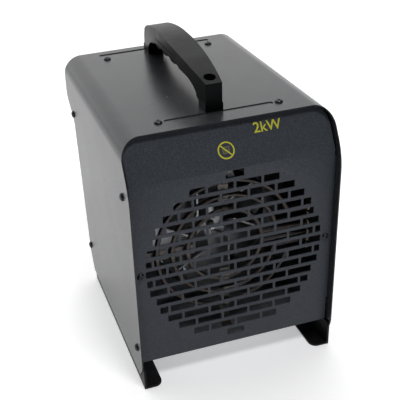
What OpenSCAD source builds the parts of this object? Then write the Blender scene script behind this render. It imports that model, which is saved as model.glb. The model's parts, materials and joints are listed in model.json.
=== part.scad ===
/* [Body] */
// Width of the steel cover over its two sides
body_w = 200; // [170:1:260]
// Height of the cover's top above the floor
body_h = 258; // [225:1:320]
// Depth from the front lip to the rearmost edge of the cover
body_d = 262; // [235:1:330]
// Radius of the two top corners of the cover
corner_r = 19; // [8:1:30]
// Thickness of the painted cover sheet
sheet_t = 1.2; // [0.8:0.1:2]
// How far the front edge has leaned back by the time it reaches the top
top_setback = 25; // [10:1:35]
// Height below the top where the front edge starts to lean back
nose_drop = 43; // [30:1:60]

/* [Front outlet] */
// Depth of the front panel behind the cover's lip
panel_recess = 9; // [5:0.5:14]
// Height of the front panel's lower edge above the floor
panel_foot_z = 26.5; // [20:0.5:40]
// Pitch between rows of outlet slots
slot_row_pitch = 10.87; // [8:0.01:14]
// Height of one outlet slot
slot_h = 7.2; // [4:0.1:9]
// Length of one full outlet slot
slot_len = 24.2; // [14:0.1:34]
// Steel left between two slots in a row
slot_web = 2.5; // [2:0.1:5]

/* [Handle] */
// Sideways place of the carrying handle
handle_x = -3.5; // [-20:0.5:20]
// Width of the handle at the middle of the grip
handle_w = 27; // [20:0.5:34]
// Height of the handle's crown above the cover
handle_rise = 40; // [32:1:55]
// Distance from the front lip to the handle's front face
handle_front_d = 48; // [40:1:60]

/* [Heating elements] */
// Diameter of the element sheath
tube_d = 5; // [4:0.1:7]
// Pitch between the three element rings
ring_pitch = 15.5; // [13:0.5:18]
// Depth of the rings behind the front lip
ring_d = 36; // [30:1:50]

/* [Fan] */
// Diameter over the blade tips
fan_d = 124; // [90:1:130]
// Number of blades
blade_count = 6; // [4:1:8]
// Pitch angle of a blade
blade_pitch = 27; // [15:1:35]
// Diameter of the motor shaft
shaft_d = 5; // [4:0.5:8]

/* [Controls] */
// Diameter of the two control knobs
knob_d = 27; // [20:1:30]
// How far a knob stands out of the control band
knob_out = 20; // [14:1:24]
// Distance between the knobs' axes
knob_spacing = 74; // [60:1:100]

/* [Hidden] */
$fn = 48;
seat_gap = 0.1;
run_gap = 0.05;
rear_recess = 16;
overall_d = body_d - rear_recess + knob_out;
half_w = body_w / 2;
in_w = half_w - sheet_t;
top_in = body_h - sheet_t;
nose_z = body_h - nose_drop;
lean = top_setback / nose_drop;
skirt_z = 11;
band_d = body_d - rear_recess;
band_foot_z = body_h - 41;
step_z = body_h - 61;
rear_low_d = body_d - 59;
rear_mid_d = body_d - 45;
pan_z = panel_foot_z;
panel_t = 1;
panel_hw = in_w - 1.5;
fold_z = nose_z + 4;
panel_top_z = top_in - 0.4;
grille_z = (panel_foot_z + fold_z) / 2 + 3.65;
grille_r = min(half_w - 12.6, (fold_z - panel_foot_z) / 2 - 8.8);
row_span = floor(grille_r / slot_row_pitch);
axis_z = grille_z - 2;
shield_hw = half_w - 12;
shield_foot_z = pan_z + panel_t;
shield_top_z = fold_z - 0.5;
shield_front_d = panel_recess + panel_t + 1;
bulkhead_d = ring_d + 56;
shroud_r = fan_d / 2 + 4;
shroud_front_d = bulkhead_d - 26;
fan_mid_d = bulkhead_d - 13;
motor_front_d = bulkhead_d + 17;
stack_len = 22;
motor_rear_d = motor_front_d + stack_len;
ring_out_r = fan_d / 2 + 7;
ring_r = [ring_out_r - 2 * ring_pitch, ring_out_r - ring_pitch, ring_out_r];
leg_off = [5, 13.5, 22];
leg_end_x = shield_hw + 6;
pin_d = tube_d - 0.8;
wire_lane = shield_hw + 3.4;
top_screw_x = half_w - 42.6;
top_screw_d = [45, body_d - 33];
side_screw = [[23, nose_z - 11], [14, 42.7], [body_d - 31, body_h - 57], [body_d - 50.5, 42.8]];
panel_screw_x = half_w - 7.6;
groove_w = 6;
groove_deep = 0.8;
front_groove_d = 45.5;
rear_groove_d = body_d - 19;
handle_len = body_d - 18 - handle_front_d;
handle_mid_d = handle_front_d + handle_len / 2;
handle_top = body_h + handle_rise;
handle_end_w = 15.5;
leg_len = 19;
collar_h = 7.4;
bolt_d = [handle_front_d + 11, handle_front_d + handle_len - 11];
rail_t = 2;
rail_x = in_w - seat_gap;
rail_flange = 19;
rail_top_z = 50;
rail_end_d = rear_low_d + 2;
knob_z = (band_foot_z + body_h) / 2 - 1.5;
thermostat_x = -knob_spacing / 2;
switch_x = knob_spacing / 2;
control_shaft_d = 6;
reset_x = 0;
reset_d = 8;
gland_x = half_w - 38;
gland_z = pan_z + 24;
inlet_r = min(half_w - 26, (step_z - pan_z) / 2 - 8);
inlet_z = axis_z;

// A distance behind the front lip, as a Y coordinate.
function fy(d) = d - overall_d / 2;

// A box between two places on each axis, its depth counted from the front lip.
module block(x0, x1, d0, d1, z0, z1)
  translate([x0, fy(d0), z0])
    cube([x1 - x0, d1 - d0, z1 - z0]);

// A round bar along the depth.
module bar_y(x, z, d0, d1, dia)
  translate([x, fy(d1), z])
    rotate([90, 0, 0])
      cylinder(h = d1 - d0, d = dia);

// A drawing in X and Z, given a thickness along the depth.
module plate_y(d0, d1)
  translate([0, fy(d1), 0])
    rotate([90, 0, 0])
      linear_extrude(height = d1 - d0)
        children();

// A drawing in depth and Z, given a thickness along X.
module plate_x(x0, x1)
  translate([x0, fy(0), 0])
    rotate([90, 0, 90])
      linear_extrude(height = x1 - x0)
        children();

// A flat-bottomed outline with two rounded top corners.
module arch(hw, h, r) {
  translate([-hw, 0])
    square([2 * hw, h - r]);
  translate([r - hw, 0])
    square([2 * (hw - r), h]);
  for (s = [-1, 1])
    translate([s * (hw - r), h - r])
      circle(r = r);
}

// A slot with round ends, cut down into the top.
module groove(hl, d) {
  block(-hl, hl, d - groove_w / 2, d + groove_w / 2, body_h - groove_deep, body_h + 1);
  for (s = [-1, 1])
    translate([s * hl, fy(d), body_h - groove_deep])
      cylinder(h = groove_deep + 1, d = groove_w);
}

// The cover's side outline, front lip at zero depth.
module side_outline() {
  bend = 16;
  steps = 6;
  slope = atan(lean);
  front = [for (i = [0 : steps])
    let (a = slope * i / steps, rr = bend / tan(slope / 2))
      [rr * (1 - cos(a)), nose_z - bend + rr * sin(a)]];
  polygon(concat(
    [[11, skirt_z], [1.5, skirt_z + 12], [0, skirt_z + 19]],
    front,
    [[top_setback, body_h], [body_d - 6, body_h], [body_d - 1, body_h - 26],
     [body_d, body_h - 42], [body_d - 3, body_h - 48], [body_d - 26, body_h - 63],
     [body_d - 29.5, body_h - 69], [body_d - 44, 31], [body_d - 55, skirt_z]]));
}

// A self-tapping pan head screw, its head at the origin and its shank down -Z.
module pan_screw(head, shank, len) {
  difference() {
    union() {
      cylinder(h = 1, d = head);
      translate([0, 0, 1])
        cylinder(h = 1.2, d1 = head, d2 = head * 0.62);
    }
    for (a = [0, 90])
      rotate([0, 0, a])
        translate([-head * 0.27, -0.45, 1])
          cube([head * 0.54, 0.9, 2]);
  }
  translate([0, 0, -len])
    cylinder(h = len + 0.2, d = shank);
}

// A hexagonal nut round a bar along the depth.
module nut_y(x, z, d0, d1, flats, bore)
  translate([x, fy(d1), z])
    rotate([90, 0, 0])
      difference() {
        cylinder(h = d1 - d0, d = flats / cos(30), $fn = 6);
        translate([0, 0, -1])
          cylinder(h = d1 - d0 + 2, d = bore);
      }

// A straight round rod between two points.
module rod(a, b, dia) {
  v = b - a;
  len = norm(v);
  translate(a)
    rotate([0, acos(v[2] / len), atan2(v[1], v[0])])
      cylinder(h = len, d = dia, $fn = 24);
}

// A wire through a list of points, with a bead of sleeving at each bend.
module wire(pts, dia) {
  last = len(pts) - 1;
  for (i = [0 : last - 1]) {
    u = (pts[i + 1] - pts[i]) / norm(pts[i + 1] - pts[i]) * dia / 2;
    rod(pts[i] + (i == 0 ? 0 : 1) * u, pts[i + 1] - (i == last - 1 ? 0 : 1) * u, dia);
  }
  for (i = [1 : last - 1])
    translate(pts[i])
      rotate([37, 23, 0])
        sphere(d = dia * 1.5, $fn = 24);
}

// One row of brick-laid slots, cut short by the round field.
module slot_row(r, z, odd) {
  half = sqrt(max(r * r - z * z, 0));
  pitch = slot_len + slot_web;
  count = ceil(half / pitch) + 1;
  for (i = [-count : count]) {
    mid = (i + (odd ? 0.5 : 0)) * pitch;
    x0 = max(mid - slot_len / 2, -half);
    x1 = min(mid + slot_len / 2, half);
    if (x1 - x0 > slot_h * 0.6)
      translate([x0, z - slot_h / 2])
        square([x1 - x0, slot_h]);
  }
}

// The whole round field of slots.
module slot_field(r)
  for (k = [-row_span : row_span])
    if (abs(k * slot_row_pitch) < r)
      slot_row(r, k * slot_row_pitch, abs(k) % 2 == 1);

// The bent steel cover: top and two sides in one sheet.
module shell_cover()
  color([0.3, 0.31, 0.33])
    difference() {
      intersection() {
        plate_y(0, body_d)
          difference() {
            arch(half_w, body_h, corner_r);
            arch(in_w, top_in, corner_r - sheet_t);
          }
        plate_x(-half_w, half_w)
          side_outline();
      }
      groove(49, front_groove_d);
      groove(60, rear_groove_d);
      for (s = [-1, 1]) {
        for (d = top_screw_d)
          translate([s * top_screw_x, fy(d), top_in - 1])
            cylinder(h = 4, d = 4.4);
        for (p = side_screw)
          translate([s * half_w, fy(p[0]), p[1]])
            rotate([0, 90, 0])
              cylinder(h = 6, d = 4.4, center = true);
      }
      for (d = bolt_d)
        translate([handle_x, fy(d), top_in - 1])
          cylinder(h = 4, d = 5.5);
    }

// The front sheet: upright slotted face, folded back above.
module front_panel() {
  s = lean;
  k = panel_t * (sqrt(1 + s * s) - 1) / s;
  up = panel_top_z - fold_z;
  color([0.2, 0.21, 0.23]) {
    difference() {
      intersection() {
        plate_x(-panel_hw, panel_hw)
          polygon([
            [panel_recess, panel_foot_z],
            [panel_recess, fold_z],
            [panel_recess + s * up, panel_top_z],
            [panel_recess + s * up + panel_t * sqrt(1 + s * s), panel_top_z],
            [panel_recess + panel_t, fold_z - k],
            [panel_recess + panel_t, panel_foot_z]]);
        plate_y(0, body_d / 2)
          arch(panel_hw, top_in - 0.3, corner_r - sheet_t);
      }
      translate([0, 0, grille_z])
        plate_y(panel_recess - 1, panel_recess + panel_t + 1)
          slot_field(grille_r);
      for (sd = [-1, 1])
        bar_y(sd * panel_screw_x, grille_z, panel_recess - 1, panel_recess + panel_t + 1, 4.2);
    }
    for (sd = [-1, 1])
      difference() {
        block(min(sd * panel_hw, sd * (in_w - 0.1)), max(sd * panel_hw, sd * (in_w - 0.1)),
          panel_recess + 0.4, panel_recess + 22, rail_top_z + 3, nose_z - 3);
        translate([sd * in_w, fy(side_screw[0][0]), side_screw[0][1]])
          rotate([0, 90, 0])
            cylinder(h = 8, d = 4.1, center = true);
      }
  }
}

// The rear sheet: control band above, air inlet below, flanges turned back.
module rear_panel() {
  t = panel_t;
  face = [[band_d, panel_top_z], [band_d, band_foot_z], [rear_mid_d, step_z], [rear_low_d, pan_z]];
  color([0.16, 0.17, 0.18])
    difference() {
      union() {
        intersection() {
          plate_x(-panel_hw, panel_hw)
            polygon(concat(face,
              [[rear_low_d - t, pan_z], [rear_mid_d - t, step_z + 0.3],
               [band_d - t, band_foot_z + 0.3], [band_d - t, panel_top_z]]));
          plate_y(body_d / 2, body_d + 10)
            arch(panel_hw, top_in - 0.3, corner_r - sheet_t);
        }
        for (sd = [-1, 1])
          plate_x(min(sd * (in_w - 0.1), sd * (panel_hw - 0.1)), max(sd * (in_w - 0.1), sd * (panel_hw - 0.1)))
            polygon([[band_d - t, body_h - corner_r - 2], [band_d - t, band_foot_z], [rear_mid_d - t, step_z],
              [rear_low_d + 1, rail_top_z - 14], [rear_low_d + 10, rail_top_z - 14],
              [rear_mid_d + 11, step_z - 2], [band_d + 10, band_foot_z - 2],
              [band_d + 10, body_h - corner_r - 2]]);
      }
      translate([0, 0, inlet_z])
        plate_y(rear_low_d - 10, band_d - 4)
          slot_field(inlet_r);
      for (sd = [-1, 1])
        for (p = [side_screw[2], side_screw[3]])
          translate([sd * in_w, fy(p[0]), p[1]])
            rotate([0, 90, 0])
              cylinder(h = 8, d = 4.1, center = true);
      for (x = [thermostat_x, switch_x])
        bar_y(x, knob_z, band_d - 4, band_d + 4, 10.2);
      bar_y(reset_x, knob_z, band_d - 4, band_d + 4, 12.2);
      bar_y(gland_x, gland_z, rear_low_d - 12, band_d, 16.4);
    }
}

// The galvanised floor of the body, its sides turned up.
module base_pan() {
  hw = rail_x - rail_t - seat_gap;
  front = panel_recess + panel_t + seat_gap;
  rear = rear_low_d - panel_t - 0.2;
  color([0.72, 0.74, 0.76])
    difference() {
      union() {
        block(-hw, hw, front, rear, pan_z, pan_z + 1);
        block(-hw, hw, front, front + 0.8, pan_z, pan_z + 9);
        block(-hw, hw, rear - 1, rear, pan_z, pan_z + 9);
        for (s = [-1, 1])
          block(min(s * hw, s * (hw - 1)), max(s * hw, s * (hw - 1)), front, rear, pan_z, rail_top_z);
      }
      for (s = [-1, 1])
        for (p = [side_screw[1], [rear_low_d - 12, side_screw[3][1]]])
          translate([s * hw, fy(p[0]), p[1]])
            rotate([0, 90, 0])
              cylinder(h = 8, d = 4.1, center = true);
    }
}

// The galvanised duct round the element rings.
module heat_shield() {
  t = 0.8;
  f = shield_front_d;
  color([0.75, 0.77, 0.78])
    difference() {
      union() {
        block(-shield_hw, -shield_hw + t, f, bulkhead_d, shield_foot_z, shield_top_z);
        block(shield_hw - t, shield_hw, f, bulkhead_d, shield_foot_z, shield_top_z);
        block(-shield_hw, shield_hw, f, bulkhead_d, shield_top_z - t, shield_top_z);
        block(-shield_hw, shield_hw, f, bulkhead_d, shield_foot_z, shield_foot_z + t);
        for (s = [-1, 1])
          block(min(s * shield_hw, s * (shield_hw + 7)), max(s * shield_hw, s * (shield_hw + 7)),
            f - 0.9, f, grille_z - 30, grille_z + 30);
        for (s = [-1, 1])
          block(min(s * shield_hw, s * (shield_hw - t)), max(s * shield_hw, s * (shield_hw - t)),
            f - 0.9, f + 1, grille_z - 30, grille_z + 30);
      }
      for (s = [-1, 1])
        bar_y(s * panel_screw_x, grille_z, f - 2, f + 2, 3.9);
      for (i = [0 : 2])
        for (s = [-1, 1])
          translate([shield_hw, fy(ring_d), axis_z + s * leg_off[i]])
            rotate([0, 90, 0])
              cylinder(h = 4, d = pin_d + 1.6, center = true);
    }
}

// The plate that parts the motor space from the heating chamber.
module fan_bulkhead()
  color([0.7, 0.72, 0.74])
    difference() {
      plate_y(bulkhead_d, bulkhead_d + 1)
        difference() {
          translate([0, pan_z + 1.1])
            arch(rail_x - rail_t - 1.5, panel_top_z - pan_z - 1.5, corner_r);
          translate([0, axis_z])
            circle(r = shroud_r + 1.2);
        }
      block(wire_lane - 2, half_w, bulkhead_d - 1, bulkhead_d + 2, rail_top_z + 6, rail_top_z + 22);
    }

// The ring that guides air into the fan.
module fan_shroud()
  color([0.74, 0.75, 0.77])
    translate([0, fy(bulkhead_d + 1), axis_z])
      rotate([90, 0, 0])
        rotate_extrude()
          union() {
            translate([shroud_r, 0])
              square([1.1, bulkhead_d + 1 - shroud_front_d]);
            translate([shroud_r, 1.1])
              square([7, 0.9]);
          }

// One foot rail, drawn on the right; the left is its mirror image.
module foot_rail() {
  color([0.05, 0.05, 0.055])
    difference() {
      union() {
        plate_x(rail_x - rail_t, rail_x)
          polygon([[0.5, 0], [0.5, 23], [2.5, 26], [panel_recess + 2.5, 26], [panel_recess + 2.5, rail_top_z],
            [rail_end_d - 8, rail_top_z], [rail_end_d - 8, 27], [rail_end_d, 14], [rail_end_d, 0]]);
        block(rail_x - rail_flange + 8, rail_x, 0.5, rail_end_d, 0, rail_t);
        block(rail_x - rail_flange, rail_x - 2, 8.5, rail_end_d - 8, 0, rail_t);
        for (d = [8.5, rail_end_d - 8])
          translate([rail_x - rail_flange + 8, fy(d), 0])
            cylinder(h = rail_t, r = 8);
      }
      for (p = [side_screw[1], [rear_low_d - 12, side_screw[3][1]]])
        translate([rail_x, fy(p[0]), p[1]])
          rotate([0, 90, 0])
            cylinder(h = 8, d = 4.1, center = true);
      for (d = [40, rail_end_d - 40])
        translate([rail_x - rail_flange + 9, fy(d), -1])
          cylinder(h = 4, d = 5.2);
    }
}

module foot_rail_right()
  foot_rail();

module foot_rail_left()
  mirror([1, 0, 0])
    foot_rail();

// The screws that hold the floor pan to the rails from inside.
module foot_screws()
  color([0.5, 0.5, 0.52])
    for (s = [-1, 1])
      for (d = [rear_low_d - 12])
        translate([s * (rail_x - rail_t - seat_gap - 1), fy(d), side_screw[3][1]])
          rotate([0, -s * 90, 0])
            pan_screw(7, 3.9, 3);

// Points on a smooth line through a list, its first and last entries giving only direction.
function smooth(p, n) = [for (i = [1 : len(p) - 3]) for (j = [0 : n - 1])
  let (t = j / n, a = p[i - 1], b = p[i], c = p[i + 1], e = p[i + 2])
    0.5 * (2 * b + (c - a) * t + (2 * a - 5 * b + 4 * c - e) * t * t + (3 * b - a - 3 * c + e) * t * t * t)];

// The crown line of the handle, as a share of its length and of its rise.
crown = smooth([for (q = [[-0.08, 0.6], [0, 0.66], [0.07, 0.735], [0.165, 0.815], [0.265, 0.888], [0.42, 0.963],
  [0.58, 0.999], [0.7, 0.988], [0.83, 0.9], [0.92, 0.755], [0.97, 0.6], [1.0, 0.35]])
    [q[0] * handle_len, q[1] * handle_rise]], 4);

// The underside of the grip, from the rear leg to the front one.
under = smooth([for (q = [[0.94, -0.2], [0.885, 0.08], [0.872, 0.26], [0.8, 0.48], [0.68, 0.62], [0.52, 0.662],
  [0.36, 0.635], [0.2, 0.52], [0.115, 0.34], [0.1, 0.12], [0.09, -0.2]])
    [q[0] * handle_len, q[1] * handle_rise]], 4);

// The handle's outline seen from the side, its two legs standing on the collars.
module handle_side()
  translate([0, body_h])
    polygon(concat([[0.5, collar_h + seat_gap], [0.5, 0.64 * handle_rise]], crown,
      [[handle_len - 4, 0.5 * handle_rise], [handle_len - 0.5, collar_h + seat_gap],
       [handle_len - leg_len + 0.5, collar_h + seat_gap]],
      [for (q = under) if (q[1] > collar_h + 1) q],
      [[leg_len - 0.5, collar_h + seat_gap]]));

// The handle seen from above, widest at the middle.
module handle_plan(trim) {
  bulge = (handle_w - handle_end_w) / 2;
  r = (handle_len * handle_len / 4 + bulge * bulge) / (2 * bulge);
  intersection_for (s = [-1, 1])
    translate([s * (r - handle_w / 2 + trim), handle_len / 2])
      circle(r = r, $fn = 200);
}

// The moulded arch of the carrying handle.
module handle_arch()
  color([0.03, 0.03, 0.035])
    difference() {
      intersection() {
        translate([handle_x, fy(handle_front_d), 0])
          translate([-handle_w, -fy(0), 0])
            plate_x(0, 2 * handle_w)
              handle_side();
        translate([handle_x, fy(handle_front_d), body_h])
          linear_extrude(height = handle_rise + 1)
            handle_plan(0);
      }
      for (d = bolt_d)
        translate([handle_x, fy(d), 0]) {
          translate([0, 0, body_h + 12])
            cylinder(h = handle_rise, d = 11);
          cylinder(h = handle_top, d = 5.6);
        }
      for (s = [-1, 1])
        translate([handle_x + s * (handle_w / 2 + 30 - groove_deep), fy(handle_mid_d), body_h + handle_rise - 9.2])
          cube([60, handle_len * 0.66, 0.9], center = true);
    }

// The softer insert under the grip, scalloped for the fingers.
module handle_insert() {
  l = handle_len;
  skin = [for (q = under) if (q[0] > 0.17 * l && q[0] < 0.82 * l) q];
  n = len(skin);
  color([0.05, 0.05, 0.05])
    intersection() {
      difference() {
        translate([handle_x - handle_w, fy(handle_front_d) - fy(0), body_h])
          plate_x(0, 2 * handle_w)
            polygon(concat([for (q = skin) q + [0, -seat_gap]],
              [for (i = [n - 1 : -1 : 0]) skin[i] + [0, -0.6 - 3.6 * sin(180 * i / (n - 1))]]));
        for (i = [-1.5 : 1 : 1.5])
          translate([handle_x - handle_w, fy(handle_mid_d + 6 + i * 23), body_h + handle_rise * 0.662 - 14.6 - abs(i)])
            rotate([0, 90, 0])
              cylinder(h = 2 * handle_w, r = 13);
      }
      translate([handle_x, fy(handle_front_d), body_h])
        linear_extrude(height = handle_rise)
          handle_plan(1);
    }
}

// The collars between the handle's legs and the cover.
module handle_collars()
  color([0.04, 0.04, 0.045])
    for (i = [0, 1])
      difference() {
        translate([handle_x, fy(handle_front_d + (i == 0 ? leg_len / 2 : handle_len - leg_len / 2)), body_h])
          linear_extrude(height = collar_h)
            square([handle_end_w + 1.6, leg_len - 0.4], center = true);
        translate([handle_x, fy(bolt_d[i]), body_h - 1])
          cylinder(h = collar_h + 2, d = 5.6);
      }

// The two machine screws down through the handle's legs.
module handle_screws()
  color([0.55, 0.56, 0.58])
    for (d = bolt_d)
      translate([handle_x, fy(d), 0]) {
        difference() {
          translate([0, 0, body_h + 12])
            cylinder(h = 4, d = 8.5);
          translate([0, 0, body_h + 13.5])
            cylinder(h = 4, d = 4.6, $fn = 6);
        }
        translate([0, 0, top_in - 12])
          cylinder(h = 25.5, d = 5);
        translate([0, 0, top_in - 6.2])
          difference() {
            cylinder(h = 4.5, d = 9.2, $fn = 6);
            translate([0, 0, -1])
              cylinder(h = 7, d = 5);
          }
      }

// The two steel plates under the top that carry the handle.
module handle_braces()
  color([0.68, 0.7, 0.72])
    for (i = [0, 1]) {
      d0 = i == 0 ? 38 : band_d - 28;
      d1 = i == 0 ? 72 : band_d - 1.5;
      difference() {
        block(-half_w + 32, half_w - 32, d0, d1, top_in - 1.6, top_in);
        for (s = [-1, 1])
          translate([s * top_screw_x, fy(top_screw_d[i]), top_in - 3])
            cylinder(h = 4, d = 4.1);
        translate([handle_x, fy(bolt_d[i]), top_in - 3])
          cylinder(h = 4, d = 5.5);
      }
    }

// The black pan head screws of the cover, four on top and four a side.
module shell_screws()
  color([0.04, 0.04, 0.045])
    for (s = [-1, 1]) {
      for (d = top_screw_d)
        translate([s * top_screw_x, fy(d), body_h])
          pan_screw(7.6, 3.9, 5.5);
      for (i = [0 : 3])
        translate([s * half_w, fy(side_screw[i][0]), side_screw[i][1]])
          rotate([0, s * 90, 0])
            pan_screw(7.6, 3.9, i == 1 ? 6.5 : 5);
    }

// The two screws at the sides of the outlet.
module panel_screws()
  color([0.35, 0.35, 0.36])
    for (s = [-1, 1])
      translate([s * panel_screw_x, fy(panel_recess), grille_z])
        rotate([90, 0, 0])
          pan_screw(6.6, 3.7, 4.5);

// One sheathed ring, open at the side, with a cold pin led out from each end.
module element_ring(i) {
  r = ring_r[i];
  off = leg_off[i];
  foot = sqrt(r * r - off * off);
  color([0.42, 0.38, 0.35])
    translate([0, fy(ring_d), axis_z])
      rotate([90, 0, 0]) {
        difference() {
          rotate_extrude()
            translate([r, 0])
              circle(d = tube_d);
          translate([0, tube_d * 0.55 - off, -tube_d])
            cube([r + tube_d, 2 * off - tube_d * 1.1, 2 * tube_d]);
        }
        for (s = [-1, 1])
          translate([foot - 1, s * off, 0])
            rotate([0, 90, 0]) {
              cylinder(h = leg_end_x - foot + 1, d = pin_d);
              cylinder(h = leg_end_x - foot + 3, d = 2.2);
            }
      }
}

module element_ring_inner()
  element_ring(0);

module element_ring_middle()
  element_ring(1);

module element_ring_outer()
  element_ring(2);

// The straps behind the rings, with a loop round each tube.
module element_clips() {
  back = ring_d + tube_d / 2 + 0.4;
  reach = [ring_r[0] - 8, shield_hw - 0.8];
  color([0.6, 0.6, 0.6])
    for (a = [90, 180, 270])
      translate([0, 0, axis_z])
        rotate([0, -a, 0])
          translate([0, 0, -axis_z]) {
            far = a == 180 ? reach[1] : (a == 90 ? shield_top_z - 0.8 - axis_z : axis_z - shield_foot_z - 0.8);
            block(reach[0], far, back, back + 1, axis_z - 5, axis_z + 5);
            block(far - 1, far, back - 8, back + 1, axis_z - 5, axis_z + 5);
            for (r = ring_r)
              difference() {
                translate([r, fy(ring_d), axis_z - 2.5])
                  cylinder(h = 5, d = tube_d + 2.2);
                translate([r, fy(ring_d), axis_z - 9])
                  cylinder(h = 18, d = tube_d + 0.5);
              }
          }
}

// The steatite bushes where the element ends pass the shield.
module ceramic_bushes()
  color([0.93, 0.91, 0.86])
    for (i = [0 : 2])
      for (s = [-1, 1])
        translate([shield_hw, fy(ring_d), axis_z + s * leg_off[i]])
          rotate([0, 90, 0])
            difference() {
              union() {
                translate([0, 0, -2])
                  cylinder(h = 4, d = pin_d + 1.5);
                cylinder(h = 3.5, d = 8.2);
              }
              translate([0, 0, -4])
                cylinder(h = 12, d = pin_d + 0.1);
            }

// The steatite block that joins the supply to the elements.
module ceramic_terminal_block()
  color([0.94, 0.92, 0.87])
    difference() {
      union() {
        block(34, 74, bulkhead_d + 44, bulkhead_d + 66, pan_z + 1, pan_z + 13);
        for (i = [0 : 3])
          block(34 + i * 13, 35 + i * 13, bulkhead_d + 44, bulkhead_d + 66, pan_z + 1, pan_z + 18);
      }
      for (i = [0 : 2])
        for (d = [49, 61])
          translate([41 + i * 13, fy(bulkhead_d + d), pan_z + 6])
            cylinder(h = 12, d = 5);
      for (i = [0 : 2])
        bar_y(41 + i * 13, pan_z + 8, bulkhead_d + 40, bulkhead_d + 70, 3.4);
    }

// The brass clamp screws of the terminal block.
module terminal_screws()
  color([0.78, 0.62, 0.3])
    for (i = [0 : 2])
      for (d = [49, 61])
        translate([41 + i * 13, fy(bulkhead_d + d), pan_z + 10])
          difference() {
            cylinder(h = 5, d = 4.8);
            translate([-3, -0.4, 4])
              cube([6, 0.8, 2]);
          }

// The bimetal disc that cuts the elements off if the air flow stops.
module thermal_cutout()
  color([0.7, 0.62, 0.4])
    translate([30, fy(ring_d + 20), shield_top_z]) {
      translate([-14, -6, 0])
        cube([28, 12, 0.8]);
      cylinder(h = 3, d = 16);
      translate([0, 0, 3])
        cylinder(h = 7, d = 13.5);
      for (s = [-1, 1])
        translate([s * 4 - 0.4, -3.1, 9.5])
          cube([0.8, 6.2, 7]);
    }

// A control body behind the band, with its threaded neck through the band.
module control_body(x, w, h, len) {
  back = band_d - panel_t;
  difference() {
    union() {
      block(x - w / 2, x + w / 2, back - len, back, knob_z - h / 2, knob_z + h / 2);
      bar_y(x, knob_z, back - 1, band_d + 4, 10);
      for (i = [-1 : 1])
        block(x + i * w * 0.3 - 3.1, x + i * w * 0.3 + 3.1, back - len - 7, back - len + 0.5,
          knob_z - 0.4, knob_z + 0.4);
    }
    bar_y(x, knob_z, back - len + 3, band_d + 5, control_shaft_d + 2 * run_gap);
  }
}

// The shaft of a control, with a flat for the knob.
module control_shaft(x)
  difference() {
    bar_y(x, knob_z, band_d - panel_t - 8, band_d + knob_out - 5, control_shaft_d);
    block(x - 4, x + 4, band_d + 6, band_d + knob_out, knob_z + 1.8, knob_z + 4);
  }

// A ribbed knob with a pointer ridge, bored for a flatted shaft.
module control_knob(x)
  difference() {
    union() {
      bar_y(x, knob_z, band_d + 4.6, band_d + 7.5, knob_d);
      bar_y(x, knob_z, band_d + 7, band_d + knob_out - 1.5, knob_d - 6);
      block(x - 2.6, x + 2.6, band_d + 7, band_d + knob_out, knob_z - knob_d / 2 + 4, knob_z + knob_d / 2 - 1.2);
      for (a = [0 : 30 : 330])
        translate([x, 0, knob_z])
          rotate([0, a, 0])
            translate([knob_d / 2 - 3, fy(band_d + 7), 0])
              rotate([-90, 0, 0])
                cylinder(h = knob_out - 9, d = 2.4);
    }
    difference() {
      bar_y(x, knob_z, band_d + 3, band_d + knob_out - 4.8, control_shaft_d + 0.1);
      block(x - 4, x + 4, band_d + 6.2, band_d + knob_out, knob_z + 1.85, knob_z + 5);
    }
    bar_y(x, knob_z, band_d + 3, band_d + 5.2, 15);
  }

module thermostat_body()
  color([0.85, 0.84, 0.8])
    control_body(thermostat_x, 34, 26, 16);

module thermostat_shaft()
  color([0.75, 0.75, 0.76])
    control_shaft(thermostat_x);

module thermostat_knob()
  color([0.06, 0.06, 0.06])
    control_knob(thermostat_x);

module switch_body()
  color([0.12, 0.12, 0.13])
    control_body(switch_x, 30, 28, 22);

module switch_shaft()
  color([0.2, 0.2, 0.2])
    control_shaft(switch_x);

module switch_knob()
  color([0.06, 0.06, 0.06])
    control_knob(switch_x);

// The hexagonal nuts that clamp the two controls to the band.
module control_nuts()
  color([0.7, 0.7, 0.72])
    for (x = [thermostat_x, switch_x])
      nut_y(x, knob_z, band_d, band_d + 2.4, 13, 10);

// The socket of the manual reset, clamped in the band.
module reset_body()
  color([0.1, 0.1, 0.1])
    difference() {
      union() {
        bar_y(reset_x, knob_z, band_d - 16, band_d + 0.1, 12);
        bar_y(reset_x, knob_z, band_d, band_d + 2, 15);
      }
      bar_y(reset_x, knob_z, band_d - 12, band_d + 3, reset_d + 2 * run_gap);
    }

// The reset button, pushed in against its own spring.
module reset_button()
  color([0.7, 0.1, 0.08]) {
    bar_y(reset_x, knob_z, band_d - 7, band_d + 4.5, reset_d);
    bar_y(reset_x, knob_z, band_d + 4.4, band_d + 5, reset_d - 1.4);
  }

// The gland where the supply cable would enter, empty.
module cable_gland() {
  d0 = rear_low_d + 1.4;
  color([0.08, 0.08, 0.08])
    difference() {
      union() {
        bar_y(gland_x, gland_z, d0 - 11, d0 + 3, 16);
        translate([gland_x, fy(d0 + 5), gland_z])
          rotate([90, 0, 0])
            cylinder(h = 3.2, d = 24, $fn = 6);
        bar_y(gland_x, gland_z, d0 + 4.8, d0 + 12, 19);
        translate([gland_x, fy(d0 - 5), gland_z])
          rotate([90, 0, 0])
            cylinder(h = 3, d = 24, $fn = 6);
      }
      bar_y(gland_x, gland_z, d0 - 14, d0 + 16, 8);
    }
}

// One rounded, cambered blade standing up from the hub.
module fan_blade() {
  rc = 60;
  reach = fan_d / 2;
  intersection() {
    rotate([0, 0, blade_pitch])
      translate([0, -rc, 0])
        difference() {
          cylinder(h = reach, r = rc + 0.6, $fn = 96);
          translate([0, 0, -1])
            cylinder(h = reach + 2, r = rc - 0.6, $fn = 96);
        }
    translate([0, 12, 0])
      rotate([90, 0, 0])
        linear_extrude(height = 24)
          intersection() {
            circle(r = reach, $fn = 96);
            translate([reach * 0.04, reach * 0.6])
              circle(r = reach * 0.46);
          }
  }
}

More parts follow.
